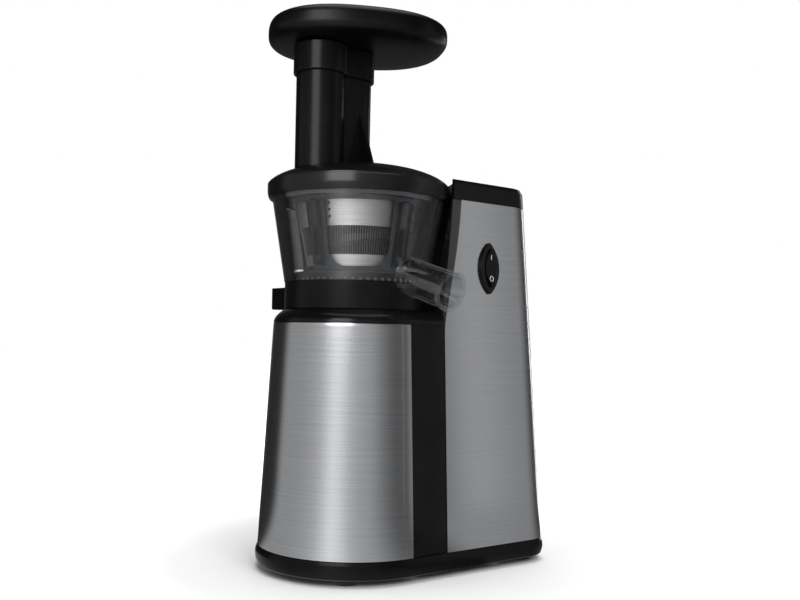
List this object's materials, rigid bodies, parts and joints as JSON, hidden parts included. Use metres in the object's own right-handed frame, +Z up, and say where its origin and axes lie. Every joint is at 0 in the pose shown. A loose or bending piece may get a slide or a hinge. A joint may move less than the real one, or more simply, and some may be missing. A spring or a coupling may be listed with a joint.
{
  "type": "cold press juicer",
  "caption": "Upright slow juicer with a steel-clad motor base and tower, clear juice bowl with screw and strainer, juice and pulp spouts, and a chute lid with pusher.",
  "frame": {"origin": "on the table, under the middle of the whole object's box in X and Y", "axes": "+Z up, -Y towards the round nose, +Y towards the rear tower, +X towards the juice spout and switch, -X towards the pulp channel"},
  "size_m": [0.2198, 0.2362, 0.4359],
  "materials": {
    "tray_black": "moulded, semi-matte",
    "foot_rubber": "plain",
    "screw_steel": "plain",
    "body_black": "smooth, semi-gloss",
    "sheet_steel": "brushed along the sheet",
    "gland_rubber": "plain",
    "switch_black": "smooth",
    "inner_plastic": "moulded",
    "board_green": "lacquered",
    "seal_rubber": "soft, smooth",
    "case_aluminium": "die cast",
    "bush_brass": "turned",
    "shaft_steel": "ground",
    "gear_nylon": "moulded nylon",
    "motor_iron": "machined",
    "motor_copper": "varnished windings on laminations",
    "bowl_clear": "clear, slightly smoky plastic",
    "ring_black": "smooth",
    "strainer_black": "moulded",
    "strainer_steel": "bright, pierced sheet",
    "brush_smoke": "smoky translucent plastic",
    "wiper_silicone": "soft, smooth",
    "screw_plastic": "hard, satin",
    "lid_black": "smooth, semi-gloss",
    "knob_black": "satin"
  },
  "bodies": {
    "base": {"base_tray": "tray_black", "rubber_feet": "foot_rubber", "tray_screws": "screw_steel", "front_housing": "body_black", "tower_housing": "body_black", "tower_cap": "body_black", "nose_sleeve": "sheet_steel", "steel_wrap": "sheet_steel", "cord_gland": "gland_rubber", "switch_bezel": "switch_black", "switch_body": "inner_plastic", "control_board": "board_green", "board_parts": "inner_plastic", "deck_seal": "seal_rubber", "gearbox_case": "case_aluminium", "gearbox_cover": "case_aluminium", "gearbox_screws": "screw_steel", "shaft_bushes": "bush_brass", "idle_axle": "shaft_steel", "motor_bells": "case_aluminium", "motor_stator": "motor_copper", "motor_bearings": "shaft_steel"},
    "rotor": {"motor_rotor": "motor_iron", "motor_shaft": "shaft_steel", "motor_fan": "inner_plastic"},
    "cluster": {"cluster_gear": "gear_nylon"},
    "drive": {"drive_shaft": "shaft_steel", "output_gear": "gear_nylon"},
    "rocker": {"switch_rocker": "switch_black"},
    "bowl": {"bowl": "bowl_clear", "juice_spout": "bowl_clear", "pulp_pipe": "bowl_clear", "bowl_ring": "ring_black", "bowl_seal": "seal_rubber", "pulp_channel": "ring_black", "strainer_frame": "strainer_black", "strainer_sheet": "strainer_steel"},
    "idler": {"brush_idler": "gear_nylon"},
    "brush": {"brush_ring": "strainer_black", "brush_frame": "brush_smoke", "brush_wipers": "wiper_silicone"},
    "screw": {"screw": "screw_plastic", "screw_pin": "shaft_steel", "screw_gear": "screw_plastic"},
    "lid": {"lid": "lid_black", "lid_funnel": "lid_black", "feed_tube": "lid_black", "lid_bush": "gear_nylon", "lid_seal": "seal_rubber"},
    "pusher": {"pusher_stem": "lid_black", "pusher_collar": "lid_black", "pusher_knob": "knob_black"}
  },
  "joints": [
    {"name": "motor_spin", "type": "hinge", "parent": "base", "child": "rotor", "pos_m": [0.00405, 0.05513, 0.08], "axis": [0, 0, 1], "continuous": true},
    {"name": "cluster_spin", "type": "hinge", "parent": "base", "child": "cluster", "pos_m": [0.00405, 0.01763, 0.14], "axis": [0, 0, 1], "continuous": true},
    {"name": "drive_spin", "type": "hinge", "parent": "base", "child": "drive", "pos_m": [0.00405, -0.03862, 0.15], "axis": [0, 0, 1], "continuous": true},
    {"name": "switch_rock", "type": "hinge", "parent": "base", "child": "rocker", "pos_m": [0.06303, 0.04538, 0.23879], "axis": [0, 1, 0], "range_deg": [-6, 6]},
    {"name": "bowl_lift", "type": "slide", "parent": "base", "child": "bowl", "axis": [0, 0, 1], "range_m": [0, 0.09]},
    {"name": "idler_spin", "type": "hinge", "parent": "bowl", "child": "idler", "pos_m": [0.00405, -0.00662, 0.227], "axis": [0, 0, 1], "continuous": true},
    {"name": "brush_spin", "type": "hinge", "parent": "bowl", "child": "brush", "pos_m": [0.00405, -0.03862, 0.227], "axis": [0, 0, 1], "continuous": true},
    {"name": "screw_spin", "type": "hinge", "parent": "bowl", "child": "screw", "pos_m": [0.00405, -0.03862, 0.24], "axis": [0, 0, 1], "continuous": true},
    {"name": "lid_lift", "type": "slide", "parent": "bowl", "child": "lid", "axis": [0, 0, 1], "range_m": [0, 0.08]},
    {"name": "pusher_slide", "type": "slide", "parent": "lid", "child": "pusher", "axis": [0, 0, 1], "range_m": [0, 0.09]}
  ],
  "couplings": [
    {"joint": "cluster_spin", "follows": "motor_spin", "ratio": -0.25},
    {"joint": "drive_spin", "follows": "motor_spin", "ratio": 0.0625},
    {"joint": "screw_spin", "follows": "motor_spin", "ratio": 0.0625},
    {"joint": "idler_spin", "follows": "motor_spin", "ratio": -0.10417},
    {"joint": "brush_spin", "follows": "motor_spin", "ratio": -0.028409}
  ]
}
